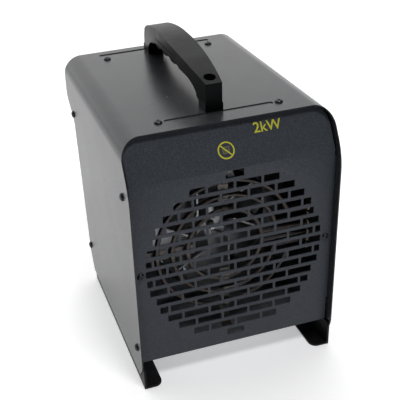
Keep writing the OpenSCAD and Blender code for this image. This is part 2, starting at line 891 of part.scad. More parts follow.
// The aluminium fan.
module fan_impeller()
  color([0.82, 0.83, 0.84])
    translate([0, fy(fan_mid_d), axis_z])
      difference() {
        union() {
          for (i = [0 : blade_count - 1])
            rotate([0, i * 360 / blade_count, 0])
              fan_blade();
          rotate([90, 0, 0])
            cylinder(h = 2.4, d = 36, center = true);
          translate([0, 9, 0])
            rotate([90, 0, 0])
              cylinder(h = 12, d = 14);
        }
        rotate([90, 0, 0])
          cylinder(h = 40, d = shaft_d + 0.06, center = true);
      }

// The nut that keeps the fan on its shaft.
module fan_nut()
  color([0.6, 0.55, 0.4])
    nut_y(0, axis_z, fan_mid_d - 7.2, fan_mid_d - 3.2, 8, shaft_d);

module motor_shaft()
  color([0.78, 0.78, 0.8])
    bar_y(0, axis_z, fan_mid_d - 10, motor_rear_d + 15, shaft_d);

module motor_rotor()
  color([0.6, 0.6, 0.62])
    difference() {
      bar_y(0, axis_z, motor_front_d - 1, motor_rear_d + 1, 25.4);
      bar_y(0, axis_z, motor_front_d - 2, motor_rear_d + 2, shaft_d + 0.04);
    }

// The laminated stack, with the rotor bore and the window for the coil.
module motor_stator()
  color([0.45, 0.46, 0.48])
    plate_y(motor_front_d, motor_rear_d)
      translate([0, axis_z])
        difference() {
          translate([-30, -52])
            square([60, 74]);
          circle(d = 26.2);
          for (s = [-1, 1])
            translate([s < 0 ? -18 : 8, -42])
              square([10, 22]);
          for (s = [-1, 1])
            for (z = [-47, 17])
              translate([s * 25, z])
                circle(d = 4.3);
        }

// The winding round the stack's middle limb.
module motor_coil()
  color([0.72, 0.35, 0.18])
    difference() {
      block(-17.5, 17.5, motor_front_d - 9, motor_rear_d + 9, axis_z - 41.5, axis_z - 20.5);
      block(-8, 8, motor_front_d - 0.1, motor_rear_d + 0.1, axis_z - 43, axis_z - 19);
    }

// A cast bridge that holds one bearing bush.
module motor_bracket(face, dir) {
  a = min(face, face + dir * 3);
  b = max(face, face + dir * 3);
  c = min(face + dir * 2, face + dir * 10);
  e = max(face + dir * 2, face + dir * 10);
  difference() {
    union() {
      block(-29, 29, a, b, axis_z + 13.5, axis_z + 21);
      block(-29, -17, a, b, axis_z - 15, axis_z + 21);
      block(17, 29, a, b, axis_z - 15, axis_z + 21);
      block(-18, -14, a, e, axis_z - 6, axis_z + 14);
      block(14, 18, a, e, axis_z - 6, axis_z + 14);
      block(-18, 18, e - 3, e, axis_z - 6, axis_z + 6);
      block(-18, 18, c, c + 3, axis_z - 6, axis_z + 6);
      bar_y(0, axis_z, c, e, 14);
    }
    bar_y(0, axis_z, min(a, c) - 1, max(b, e) + 1, 9.1);
    for (s = [-1, 1])
      bar_y(s * 25, axis_z + 17, min(a, c) - 1, max(b, e) + 1, 4.3);
  }
}

module motor_bracket_front()
  color([0.66, 0.67, 0.69])
    motor_bracket(motor_front_d, -1);

module motor_bracket_rear()
  color([0.66, 0.67, 0.69])
    motor_bracket(motor_rear_d, 1);

// The sintered bushes that the shaft turns in.
module motor_bushes()
  color([0.7, 0.55, 0.3])
    for (d = [motor_front_d - 9.5, motor_rear_d + 2.5])
      difference() {
        bar_y(0, axis_z, d, d + 7, 9);
        bar_y(0, axis_z, d - 1, d + 8, shaft_d + 2 * run_gap);
      }

// The steel bridge across the fan opening that carries the motor.
module motor_mount()
  color([0.7, 0.72, 0.73]) {
    d1 = motor_front_d - 11;
    difference() {
      union() {
        block(-33, 33, d1 - 1.5, d1, axis_z - 50, axis_z + 24);
        for (s = [-1, 1]) {
          block(min(s * 24, s * 33), max(s * 24, s * 33), d1 - 1.5, d1, axis_z - shroud_r - 11, axis_z + shroud_r + 11);
          for (v = [-1, 1])
            block(min(s * 24, s * 33), max(s * 24, s * 33), bulkhead_d + 1, d1,
              axis_z + v * (shroud_r + 10.2) - 0.8, axis_z + v * (shroud_r + 10.2) + 0.8);
        }
      }
      bar_y(0, axis_z - 2, d1 - 3, d1 + 2, 40);
      for (s = [-1, 1])
        for (z = [17, -47])
          bar_y(s * 25, axis_z + z, d1 - 3, d1 + 2, 4.3);
      block(-19, 19, d1 - 3, d1 + 2, axis_z - 43, axis_z - 19.5);
    }
  }

// The long screws and spacers that clamp the motor together.
module motor_screws()
  color([0.62, 0.62, 0.64])
    for (s = [-1, 1]) {
      bar_y(s * 25, axis_z + 17, motor_front_d - 15, motor_rear_d + 5.5, 4);
      bar_y(s * 25, axis_z + 17, motor_front_d - 15.5, motor_front_d - 12.6, 7.5);
      nut_y(s * 25, axis_z + 17, motor_rear_d + 3.05, motor_rear_d + 6, 7, 4);
      bar_y(s * 25, axis_z + 17, motor_front_d - 10.9, motor_front_d - 3.05, 8);
      bar_y(s * 25, axis_z - 47, motor_front_d - 15, motor_rear_d + 3, 4);
      bar_y(s * 25, axis_z - 47, motor_front_d - 15.5, motor_front_d - 12.6, 7.5);
      nut_y(s * 25, axis_z - 47, motor_rear_d + 0.05, motor_rear_d + 3, 7, 4);
      bar_y(s * 25, axis_z - 47, motor_front_d - 10.9, motor_front_d - 0.05, 8);
    }

// The insulated wires between the controls, the elements and the terminals.
module wire_harness() {
  back = band_d - panel_t;
  color([0.75, 0.28, 0.12])
    for (i = [0 : 2]) {
      z = rail_top_z + 18 - i * 4;
      x = 41 + i * 13;
      wire([[leg_end_x + 1.5, fy(ring_d + 2.8), axis_z - leg_off[i]],
        [wire_lane, fy(ring_d + 13), axis_z - leg_off[i]], [wire_lane, fy(bulkhead_d - 8), z],
        [wire_lane, fy(bulkhead_d + 8), z], [x, fy(bulkhead_d + 34), pan_z + 9],
        [x, fy(bulkhead_d + 46), pan_z + 8]], 2.2);
      wire([[x, fy(bulkhead_d + 64), pan_z + 8], [x, fy(bulkhead_d + 76), pan_z + 9],
        [x - 6, fy(bulkhead_d + 92), pan_z + 90], [x - 6, fy(back - 44), knob_z - 24],
        [switch_x + (i - 1) * 9, fy(back - 36), knob_z - 3],
        [switch_x + (i - 1) * 9, fy(back - 30.4), knob_z]], 2.2);
    }
}

// The plain rating plate on the rear face.
module rating_plate()
  color([0.7, 0.71, 0.72])
    translate([-half_w + 46, fy(rear_low_d), pan_z])
      rotate([-atan((rear_mid_d - rear_low_d) / (step_z - pan_z)), 0, 0])
        translate([-24, 0, 5])
          cube([48, 0.5, 16]);

// The rivets at the plate's corners.
module plate_rivets()
  color([0.8, 0.8, 0.8])
    translate([-half_w + 46, fy(rear_low_d), pan_z])
      rotate([-atan((rear_mid_d - rear_low_d) / (step_z - pan_z)), 0, 0])
        for (s = [-1, 1])
          translate([s * 21.5, 0.5, 13])
            rotate([-90, 0, 0])
              cylinder(h = 0.9, d1 = 3, d2 = 1.8);

shell_cover();
front_panel();
rear_panel();
base_pan();
heat_shield();
fan_bulkhead();
fan_shroud();
foot_rail_left();
foot_rail_right();
foot_screws();
handle_arch();
handle_insert();
handle_collars();
handle_screws();
handle_braces();
shell_screws();
panel_screws();
element_ring_outer();
element_ring_middle();
element_ring_inner();
element_clips();
ceramic_bushes();
ceramic_terminal_block();
terminal_screws();
thermal_cutout();
thermostat_body();
thermostat_knob();
thermostat_shaft();
switch_body();
switch_knob();
switch_shaft();
control_nuts();
reset_body();
reset_button();
cable_gland();
fan_impeller();
fan_nut();
motor_shaft();
motor_rotor();
motor_stator();
motor_coil();
motor_bracket_front();
motor_bracket_rear();
motor_bushes();
motor_mount();
motor_screws();
wire_harness();
rating_plate();
plate_rivets();
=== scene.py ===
"""Looks of a box-shaped ceramic space heater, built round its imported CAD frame.

Metres, +Z up, front towards -Y.
"""

import math

import bmesh
import bpy
from mathutils import Euler, Matrix, Vector
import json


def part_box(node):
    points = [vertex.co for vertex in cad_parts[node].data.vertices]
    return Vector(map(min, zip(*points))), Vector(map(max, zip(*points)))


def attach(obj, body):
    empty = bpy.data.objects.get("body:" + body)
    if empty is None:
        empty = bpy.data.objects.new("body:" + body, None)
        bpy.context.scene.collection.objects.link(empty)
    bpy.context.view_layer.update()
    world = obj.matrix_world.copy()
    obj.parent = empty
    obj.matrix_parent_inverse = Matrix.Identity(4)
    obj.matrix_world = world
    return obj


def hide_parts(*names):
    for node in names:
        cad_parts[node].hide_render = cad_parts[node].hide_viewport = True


MM = 0.001

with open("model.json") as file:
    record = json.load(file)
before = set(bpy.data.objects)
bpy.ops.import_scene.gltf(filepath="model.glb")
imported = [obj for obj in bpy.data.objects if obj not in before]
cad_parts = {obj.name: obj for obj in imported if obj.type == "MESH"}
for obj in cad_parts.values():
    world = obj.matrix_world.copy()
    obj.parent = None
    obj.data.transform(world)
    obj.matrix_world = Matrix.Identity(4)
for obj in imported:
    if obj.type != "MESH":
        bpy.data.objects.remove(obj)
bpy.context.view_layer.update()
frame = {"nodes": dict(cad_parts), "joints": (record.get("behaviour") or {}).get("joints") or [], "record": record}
NODES = frame["nodes"]
JOINTS = {j["name"]: j for j in frame["joints"]}


# ---------------------------------------------------------------- places taken from the frame

SHELL_LO, SHELL_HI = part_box("shell_cover")
LIP_Y = SHELL_LO.y                    # plane of the front lip
TOP_Z = SHELL_HI.z                    # the cover's top
FAN_AXIS = Vector(JOINTS["fan_spin"]["pos_m"])
THERMOSTAT_AXIS = Vector(JOINTS["thermostat_turn"]["pos_m"])
POWER_AXIS = Vector(JOINTS["power_turn"]["pos_m"])
FOLD_Z = TOP_Z - 39 * MM              # crease of the front panel
PANEL_SLOPE = 25 / 43                 # lean of the panel above the crease
PANEL_FACE_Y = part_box("front_panel")[0].y  # the panel's face below the crease
REAR_SLOPE = 14.0 / 170.5             # lean of the rear panel below its step


# ---------------------------------------------------------------- camera

def place_camera():
    """Stands off the front left corner, above the top, with a long lens."""
    data = bpy.data.cameras.new("camera")
    data.lens = 70.56
    data.sensor_width = 36.0
    data.shift_x = 0.1297
    data.shift_y = 0.0085
    data.dof.use_dof = False
    data.clip_end = 20.0
    camera = bpy.data.objects.new("camera", data)
    camera.location = (-0.2305, LIP_Y - 0.5629, 0.5340)
    camera.rotation_euler = Euler((math.radians(60.538), math.radians(3.391), math.radians(-16.589)))
    bpy.context.scene.collection.objects.link(camera)
    bpy.context.scene.camera = camera


place_camera()


# ---------------------------------------------------------------- shader node groups

def new_group(name, inputs, outputs):
    """An empty shader node group with named float inputs and (name, kind) outputs."""
    group = bpy.data.node_groups.new(name, "ShaderNodeTree")
    for label, value in inputs:
        socket = group.interface.new_socket(name=label, in_out="INPUT", socket_type="NodeSocketFloat")
        socket.default_value = value
    for label, kind in outputs:
        group.interface.new_socket(name=label, in_out="OUTPUT", socket_type=kind)
    return group, group.nodes.new("NodeGroupInput"), group.nodes.new("NodeGroupOutput")


def math_node(tree, operation, a, b=0.0, clamp=False):
    node = tree.nodes.new("ShaderNodeMath")
    node.operation = operation
    node.use_clamp = clamp
    for socket, value in zip(node.inputs, (a, b)):
        if isinstance(value, (int, float)):
            socket.default_value = value
        else:
            tree.links.new(value, socket)
    return node.outputs[0]


def noise_node(tree, vector, scale, detail=3.0, rough=0.55):
    node = tree.nodes.new("ShaderNodeTexNoise")
    node.inputs["Detail"].default_value = detail
    node.inputs["Roughness"].default_value = rough
    if isinstance(scale, (int, float)):
        node.inputs["Scale"].default_value = scale
    else:
        tree.links.new(scale, node.inputs["Scale"])
    tree.links.new(vector, node.inputs["Vector"])
    return node.outputs["Fac"]


def spread(tree, value, low, high, out_low=0.0, out_high=1.0):
    """Stretches a range of values, held at both ends."""
    node = tree.nodes.new("ShaderNodeMapRange")
    for name, number in (("From Min", low), ("From Max", high), ("To Min", out_low), ("To Max", out_high)):
        if isinstance(number, (int, float)):
            node.inputs[name].default_value = number
        else:
            tree.links.new(number, node.inputs[name])
    tree.links.new(value, node.inputs["Value"])
    return node.outputs["Result"]


def times(tree, *factors, clamp=False):
    """The product of two or more sockets or numbers."""
    product = factors[0]
    for factor in factors[1:]:
        product = math_node(tree, "MULTIPLY", product, factor, clamp)
    return product


def own_place(tree):
    """Where a point lies on the object, in metres."""
    return tree.nodes.new("ShaderNodeTexCoord").outputs["Object"]


def axes_of(tree, vector):
    """The X, Y and Z of a vector."""
    node = tree.nodes.new("ShaderNodeSeparateXYZ")
    tree.links.new(vector, node.inputs[0])
    return node.outputs


def make_grain_group():
    """Fine surface texture: a height, a roughness shift and a sparse speckle mask."""
    group, inside, outside = new_group(
        "surface_grain",
        (("Grain Size", 900.0), ("Speckle Size", 1400.0), ("Speckle Share", 0.1)),
        (("Height", "NodeSocketFloat"), ("Variation", "NodeSocketFloat"), ("Speckle", "NodeSocketFloat")))
    place = own_place(group)
    fine = noise_node(group, place, inside.outputs["Grain Size"], 2.0, 0.5)
    broad = noise_node(group, place, 28.0, 4.0, 0.6)
    specks = noise_node(group, place, inside.outputs["Speckle Size"], 1.0, 0.4)
    edge = math_node(group, "SUBTRACT", 0.72, inside.outputs["Speckle Share"])
    speck = spread(group, specks, edge, 0.76)
    group.links.new(fine, outside.inputs["Height"])
    group.links.new(spread(group, broad, 0.3, 0.7), outside.inputs["Variation"])
    group.links.new(speck, outside.inputs["Speckle"])
    return group


def make_dust_group():
    """Dust that lies on upward faces and gathers low down, broken up by noise."""
    group, inside, outside = new_group(
        "settled_dust", (("Amount", 0.3), ("Reach Z", 0.05)), (("Mask", "NodeSocketFloat"),))
    place = own_place(group)
    normal = group.nodes.new("ShaderNodeNewGeometry").outputs["Normal"]
    up = spread(group, axes_of(group, normal)["Z"], 0.5, 1.0)
    low = spread(group, axes_of(group, place)["Z"], inside.outputs["Reach Z"], 0.0)
    cloud = spread(group, noise_node(group, place, 60.0, 6.0, 0.65), 0.42, 0.75)
    gathered = math_node(group, "MAXIMUM", times(group, up, 0.4), low)
    mask = times(group, gathered, cloud, inside.outputs["Amount"], clamp=True)
    group.links.new(mask, outside.inputs["Mask"])
    return group


def make_scuff_group():
    """Short fine scratches that run mostly one way."""
    group, inside, outside = new_group(
        "handling_scuffs", (("Length", 30.0), ("Fineness", 900.0), ("Amount", 0.3)),
        (("Mask", "NodeSocketFloat"),))
    place = own_place(group)
    axes = axes_of(group, place)
    stretched = group.nodes.new("ShaderNodeCombineXYZ")
    for axis, scale in (("X", "Fineness"), ("Y", "Length"), ("Z", "Fineness")):
        group.links.new(times(group, axes[axis], inside.outputs[scale]), stretched.inputs[axis])
    lines = spread(group, noise_node(group, stretched.outputs[0], 1.0, 2.0, 0.5), 0.66, 0.72)
    patches = spread(group, noise_node(group, place, 18.0, 3.0, 0.6), 0.52, 0.68)
    mask = times(group, lines, patches, inside.outputs["Amount"], clamp=True)
    group.links.new(mask, outside.inputs["Mask"])
    return group


def make_spangle_group():
    """The crystal pattern of galvanised sheet."""
    group, inside, outside = new_group(
        "zinc_spangle", (("Cells", 120.0),), (("Shade", "NodeSocketFloat"), ("Height", "NodeSocketFloat")))
    place = own_place(group)
    cells = group.nodes.new("ShaderNodeTexVoronoi")
    cells.inputs["Randomness"].default_value = 1.0
    group.links.new(inside.outputs["Cells"], cells.inputs["Scale"])
    group.links.new(place, cells.inputs["Vector"])
    shade = group.nodes.new("ShaderNodeSeparateColor")
    group.links.new(cells.outputs["Color"], shade.inputs[0])
    group.links.new(shade.outputs[0], outside.inputs["Shade"])
    group.links.new(cells.outputs["Distance"], outside.inputs["Height"])
    return group


def make_spun_group():
    """Turning marks: fine rings round an axis that runs along Y."""
    group, inside, outside = new_group(
        "turning_marks", (("Centre X", 0.0), ("Centre Z", 0.0), ("Rings", 3000.0)),
        (("Height", "NodeSocketFloat"),))
    place = own_place(group)
    axes = axes_of(group, place)
    dx = math_node(group, "SUBTRACT", axes["X"], inside.outputs["Centre X"])
    dz = math_node(group, "SUBTRACT", axes["Z"], inside.outputs["Centre Z"])
    squared = math_node(group, "ADD", times(group, dx, dx), times(group, dz, dz))
    radius = math_node(group, "SQRT", squared)
    wave = math_node(group, "SINE", times(group, radius, inside.outputs["Rings"]))
    broken = times(group, wave, noise_node(group, place, 90.0, 2.0))
    group.links.new(broken, outside.inputs["Height"])
    return group


GRAIN = make_grain_group()
DUST = make_dust_group()
SCUFF = make_scuff_group()
SPANGLE = make_spangle_group()
SPUN = make_spun_group()


# ---------------------------------------------------------------- materials

class Finish:
    """A material under construction: its Principled shader and the effects wired into it."""

    def __init__(self, name, color, rough, metallic=0.0):
        self.material = bpy.data.materials.new(name)
        self.material.use_nodes = True
        self.tree = self.material.node_tree
        self.shader = self.tree.nodes["Principled BSDF"]
        self.material.diffuse_color = (*color, 1.0)
        self.color = self.rgb(color)
        self.rough = None
        self.base_rough = rough
        self.shader.inputs["Metallic"].default_value = metallic
        self.shader.inputs["Roughness"].default_value = rough
        self.normal = None

    def rgb(self, color):
        node = self.tree.nodes.new("ShaderNodeRGB")
        node.outputs[0].default_value = (*color, 1.0)
        return node.outputs[0]

    def effect(self, group, **values):
        node = self.tree.nodes.new("ShaderNodeGroup")
        node.node_tree = group
        for label, value in values.items():
            node.inputs[label.replace("_", " ")].default_value = value
        return node.outputs

    def tint(self, mask, color, share=1.0):
        """Blends a second colour in where the mask is high."""
        mix = self.tree.nodes.new("ShaderNodeMix")
        mix.data_type = "RGBA"            # inputs 6 and 7 and output 2 are then the colours
        self.tree.links.new(times(self.tree, mask, share, clamp=True), mix.inputs["Factor"])
        self.tree.links.new(self.color, mix.inputs[6])
        mix.inputs[7].default_value = (*color, 1.0)
        self.color = mix.outputs[2]

    def roughen(self, mask, amount):
        """Adds to the roughness where the mask is high."""
        start = self.base_rough if self.rough is None else self.rough
        self.rough = math_node(self.tree, "ADD", times(self.tree, mask, amount), start, True)

    def bump(self, height, distance, strength=1.0):
        node = self.tree.nodes.new("ShaderNodeBump")
        node.inputs["Distance"].default_value = distance
        node.inputs["Strength"].default_value = strength
        self.tree.links.new(height, node.inputs["Height"])
        if self.normal is not None:
            self.tree.links.new(self.normal, node.inputs["Normal"])
        self.normal = node.outputs["Normal"]

    def set(self, **values):
        for label, value in values.items():
            self.shader.inputs[label.replace("_", " ")].default_value = value
        return self

    def done(self):
        self.tree.links.new(self.color, self.shader.inputs["Base Color"])
        if self.rough is not None:
            self.tree.links.new(self.rough, self.shader.inputs["Roughness"])
        if self.normal is not None:
            self.tree.links.new(self.normal, self.shader.inputs["Normal"])
        return self.material


def shaded(color, share):
    """A color brought down to a share of its brightness."""
    return tuple(c * share for c in color)


def ridge_wave(tree, axis, pitch):
    """A sine wave along one axis, one cycle to each pitch."""
    along = axes_of(tree, own_place(tree))[axis]
    return math_node(tree, "SINE", times(tree, along, 2 * math.pi / pitch))


def cover_paint():
    """Semi-gloss metallic grey baked on the cover."""
    f = Finish("cover_paint", (0.022, 0.0235, 0.027), 0.25)
    grain = f.effect(GRAIN, Grain_Size=1100.0, Speckle_Size=2600.0, Speckle_Share=0.13)
    f.tint(grain["Speckle"], (0.12, 0.125, 0.135), 0.3)
    f.roughen(grain["Variation"], 0.02)
    scuff = f.effect(SCUFF, Length=40.0, Fineness=700.0, Amount=0.3)
    f.tint(scuff["Mask"], (0.16, 0.16, 0.17), 0.3)
    f.roughen(scuff["Mask"], 0.08)
    dust = f.effect(DUST, Amount=0.12, Reach_Z=0.02)
    f.tint(dust["Mask"], (0.3, 0.29, 0.27))
    f.bump(grain["Height"], 0.00002, 0.25)
    f.set(Specular_IOR_Level=0.27)
    return f.done()


def panel_paint():
    """Satin blue-grey on the front panel, with a fine fleck."""
    f = Finish("panel_paint", (0.036, 0.041, 0.05), 0.42)
    grain = f.effect(GRAIN, Grain_Size=1500.0, Speckle_Size=1700.0, Speckle_Share=0.2)
    f.tint(grain["Speckle"], (0.13, 0.145, 0.175), 0.6)
    f.roughen(grain["Variation"], 0.08)
    f.bump(grain["Height"], 0.00006, 0.5)
    dust = f.effect(DUST, Amount=0.08, Reach_Z=0.05)
    f.tint(dust["Mask"], (0.3, 0.29, 0.27))
    f.set(Specular_IOR_Level=0.18)
    return f.done()


def rear_paint():
    """Black textured paint on the rear panel."""
    f = Finish("rear_paint", (0.022, 0.022, 0.024), 0.5, 0.1)
    grain = f.effect(GRAIN, Grain_Size=700.0, Speckle_Size=2000.0, Speckle_Share=0.1)
    f.tint(grain["Speckle"], (0.1, 0.1, 0.105), 0.4)
    f.roughen(grain["Variation"], 0.1)
    f.bump(grain["Height"], 0.00012, 0.6)
    dust = f.effect(DUST, Amount=0.1, Reach_Z=0.08)
    f.tint(dust["Mask"], (0.35, 0.33, 0.3))
    return f.done()


def rail_paint():
    """Satin black on the foot rails, scuffed where they drag on the floor."""
    f = Finish("rail_paint", (0.0015, 0.0015, 0.002), 0.4)
    grain = f.effect(GRAIN, Grain_Size=900.0)
    f.roughen(grain["Variation"], 0.12)
    f.bump(grain["Height"], 0.00008, 0.5)
    scuff = f.effect(SCUFF, Length=60.0, Fineness=500.0, Amount=0.8)
    f.tint(scuff["Mask"], (0.2, 0.2, 0.2), 0.4)
    dust = f.effect(DUST, Amount=0.06, Reach_Z=0.006)
    f.tint(dust["Mask"], (0.3, 0.29, 0.27))
    f.set(Specular_IOR_Level=0.2)
    return f.done()


def galvanised():
    """Galvanised sheet with its spangle, with painted shade that turns it near black above the floor pan."""
    f = Finish("galvanised_sheet", (0.36, 0.39, 0.43), 0.34, 0.7)
    spangle = f.effect(SPANGLE, Cells=130.0)
    f.tint(spangle["Shade"], (0.23, 0.25, 0.28), 0.6)
    height = axes_of(f.tree, own_place(f.tree))["Z"]
    # painted shade: the sheet fades to near black from 35 mm to 75 mm up, standing for the shadow inside the
    # heater's body
    f.tint(spread(f.tree, height, 35 * MM, 75 * MM), (0.014, 0.0135, 0.013), 0.95)
    f.roughen(spangle["Shade"], 0.16)
    f.bump(spangle["Height"], 0.00006, 0.3)
    dust = f.effect(DUST, Amount=0.3, Reach_Z=0.1)
    f.tint(dust["Mask"], (0.45, 0.42, 0.38))
    return f.done()


def moulding(name, color=(0.003, 0.0034, 0.0042), rough=0.3, grain_size=1300.0, depth=0.00008):
    """Moulded plastic with a spark-eroded grain."""
    f = Finish(name, color, rough)
    grain = f.effect(GRAIN, Grain_Size=grain_size)
    f.roughen(grain["Variation"], 0.12)
    f.bump(grain["Height"], depth, 0.6)
    scuff = f.effect(SCUFF, Length=90.0, Fineness=600.0, Amount=0.5)
    f.set(Specular_IOR_Level=0.06)
    f.tint(scuff["Mask"], tuple(min(1.0, c * 2 + 0.03) for c in color), 0.4)
    dust = f.effect(DUST, Amount=0.05, Reach_Z=0.01)
    f.tint(dust["Mask"], (0.3, 0.29, 0.28))
    return f.done()


def bare_metal(name, color, rough, cells=0.0):
    """Plated or cast metal with faint blotches, and a crystal relief where cells are given."""
    f = Finish(name, color, rough, 1.0)
    grain = f.effect(GRAIN, Grain_Size=1600.0, Speckle_Size=3000.0, Speckle_Share=0.12)
    f.tint(grain["Variation"], shaded(color, 0.8), 0.7)
    f.roughen(grain["Variation"], 0.12)
    f.bump(grain["Height"], 0.00005, 0.4)
    if cells:
        spangle = f.effect(SPANGLE, Cells=cells)
        f.bump(spangle["Height"], 0.0001, 0.4)
    return f.done()


def spun_metal(name, color, rough, centre):
    """Pressed or turned metal with ring marks round its own axis."""
    f = Finish(name, color, rough, 1.0)
    grain = f.effect(GRAIN, Grain_Size=1200.0)
    marks = f.effect(SPUN, Centre_X=centre.x, Centre_Z=centre.z, Rings=7000.0)
    f.tint(grain["Variation"], shaded(color, 0.85), 0.6)
    f.roughen(grain["Variation"], 0.1)
    f.bump(marks["Height"], 0.00005, 0.5)
    return f.done()


def heated_sheath():
    """Stainless sheath browned and blued by heat."""
    f = Finish("element_sheath", (0.11, 0.1, 0.095), 0.34, 1.0)
    place = own_place(f.tree)
    bands = spread(f.tree, noise_node(f.tree, place, 45.0, 3.0, 0.6), 0.4, 0.65)
    blues = spread(f.tree, noise_node(f.tree, place, 22.0, 2.0, 0.5), 0.5, 0.7)
    f.tint(bands, (0.11, 0.08, 0.06), 0.7)
    f.tint(blues, (0.09, 0.1, 0.13), 0.6)
    grain = f.effect(GRAIN, Grain_Size=1400.0)
    f.roughen(grain["Variation"], 0.2)
    f.bump(grain["Height"], 0.00006, 0.5)
    return f.done()


def steatite():
    """Unglazed white technical ceramic."""
    f = Finish("steatite", (0.8, 0.77, 0.7), 0.55)
    grain = f.effect(GRAIN, Grain_Size=700.0, Speckle_Size=900.0, Speckle_Share=0.08)
    f.tint(grain["Variation"], (0.68, 0.63, 0.55), 0.6)
    f.tint(grain["Speckle"], (0.4, 0.34, 0.27), 0.5)
    f.roughen(grain["Variation"], 0.15)
    f.bump(grain["Height"], 0.0001, 0.5)
    return f.done()


def laminations():
    """The cut edges of stacked iron sheets, lines across the depth."""
    f = Finish("lamination_steel", (0.3, 0.31, 0.33), 0.4, 0.9)
    wave = ridge_wave(f.tree, "Y", 0.7 * MM)
    lines = spread(f.tree, wave, 0.4, 1.0)
    f.tint(lines, (0.06, 0.055, 0.05), 0.8)
    f.roughen(lines, 0.25)
    f.bump(wave, 0.0001, 0.6)
    return f.done()


def coil_tape():
    """Taped copper winding, its turns showing through."""
    f = Finish("coil_winding", (0.55, 0.26, 0.1), 0.4, 0.2)
    wave = ridge_wave(f.tree, "Z", 0.8 * MM)
    f.tint(spread(f.tree, wave, 0.2, 1.0), (0.3, 0.1, 0.04), 0.7)
    f.bump(wave, 0.0003, 0.7)
    grain = f.effect(GRAIN, Grain_Size=600.0)
    f.roughen(grain["Variation"], 0.2)
    return f.done()


def marking_paint():
    """Yellow pad-printed ink."""
    f = Finish("marking_paint", (0.52, 0.5, 0.02), 0.5)
    grain = f.effect(GRAIN, Grain_Size=1200.0, Speckle_Size=1900.0, Speckle_Share=0.1)
    f.tint(grain["Speckle"], (0.3, 0.26, 0.04), 0.5)
    f.roughen(grain["Variation"], 0.15)
    f.bump(grain["Height"], 0.00003, 0.4)
    return f.done()


def pad_ink(name, color):
    """Plain pad-printed ink, a little thin in places."""
    f = Finish(name, color, 0.5)
    grain = f.effect(GRAIN, Grain_Size=1200.0, Speckle_Size=1900.0, Speckle_Share=0.1)
    f.tint(grain["Speckle"], shaded(color, 0.55), 0.6)
    f.roughen(grain["Variation"], 0.15)
    return f.done()


def studio_floor():
    """Plain pale sweep."""
    f = Finish("studio_floor", (0.86, 0.86, 0.87), 0.6)
    grain = f.effect(GRAIN, Grain_Size=60.0)
    f.roughen(grain["Variation"], 0.1)
    f.tint(grain["Variation"], (0.84, 0.84, 0.85), 0.5)
    f.set(Emission_Color=(1.0, 1.0, 1.0, 1.0), Emission_Strength=0.4)
    return f.done()


COVER = cover_paint()
PANEL = panel_paint()
REAR = rear_paint()
RAIL = rail_paint()
ZINC_SHEET = galvanised()
HANDLE = moulding("handle_plastic")
GRIP = moulding("grip_rubber", (0.008, 0.008, 0.009), 0.55, 900.0, 0.00015)
BLACK = moulding("black_plastic", (0.009, 0.009, 0.01), 0.38, 1500.0)
BLACK_SCREW = bare_metal("black_screw", (0.05, 0.05, 0.055), 0.3)
RED = moulding("red_plastic", (0.5, 0.02, 0.015), 0.25, 1500.0, 0.00002)
PHENOLIC = moulding("phenolic", (0.62, 0.6, 0.52), 0.4, 1100.0)
ZINC = bare_metal("zinc_hardware", (0.6, 0.61, 0.63), 0.28)
SHEATH = heated_sheath()
STEATITE = steatite()
BRASS = bare_metal("brass", (0.75, 0.52, 0.2), 0.25)
FAN_METAL = spun_metal("fan_aluminium", (0.4, 0.41, 0.43), 0.26, FAN_AXIS)
SCORCHED = bare_metal("scorched_steel", (0.16, 0.15, 0.14), 0.4)
SHAFT = bare_metal("shaft_steel", (0.65, 0.65, 0.67), 0.18)
IRON = laminations()
COIL = coil_tape()
CAST = bare_metal("cast_alloy", (0.52, 0.53, 0.55), 0.45, 500.0)
BRONZE = bare_metal("sintered_bronze", (0.5, 0.33, 0.15), 0.45, 1500.0)
SILICONE = moulding("wire_insulation", (0.42, 0.1, 0.04), 0.45, 1000.0, 0.00003)
PLATE = bare_metal("plate_foil", (0.68, 0.69, 0.7), 0.32)
YELLOW = marking_paint()
WHITE_INK = pad_ink("white_ink", (0.75, 0.75, 0.74))
GREY_INK = pad_ink("grey_ink", (0.22, 0.2, 0.07))

NODE_FINISH = {
    "shell_cover": COVER, "front_panel": PANEL, "rear_panel": REAR, "base_pan": ZINC_SHEET,
    "heat_shield": ZINC_SHEET, "fan_bulkhead": ZINC_SHEET, "fan_shroud": ZINC_SHEET,
    "foot_rail_left": RAIL, "foot_rail_right": RAIL, "foot_screws": ZINC, "handle_arch": HANDLE,
    "handle_insert": GRIP, "handle_collars": HANDLE, "handle_screws": ZINC, "handle_braces": ZINC_SHEET,
    "shell_screws": BLACK_SCREW, "panel_screws": BLACK_SCREW, "element_ring_outer": SHEATH,
    "element_ring_middle": SHEATH, "element_ring_inner": SHEATH, "element_clips": SCORCHED,
    "ceramic_bushes": STEATITE, "ceramic_terminal_block": STEATITE, "terminal_screws": BRASS,
    "thermal_cutout": PHENOLIC, "thermostat_body": PHENOLIC, "thermostat_knob": BLACK,
    "thermostat_shaft": SHAFT, "switch_body": BLACK, "switch_knob": BLACK, "switch_shaft": BLACK,
    "control_nuts": ZINC, "reset_body": BLACK, "reset_button": RED, "cable_gland": BLACK,
    "fan_impeller": FAN_METAL, "fan_nut": SCORCHED, "motor_shaft": SHAFT, "motor_rotor": IRON,
    "motor_stator": IRON, "motor_coil": COIL, "motor_bracket_front": CAST, "motor_bracket_rear": CAST,
    "motor_bushes": BRONZE, "motor_mount": ZINC_SHEET, "motor_screws": ZINC, "wire_harness": SILICONE,
    "rating_plate": PLATE, "plate_rivets": ZINC,
}


def dress(obj, finish):
    """Gives an object one material in place of any it has."""
    obj.data.materials.clear()
    obj.data.materials.append(finish)


def dress_cad_nodes():
    for name, obj in NODES.items():
        dress(obj, NODE_FINISH[name])


dress_cad_nodes()


# ---------------------------------------------------------------- CAD pieces with their edges eased

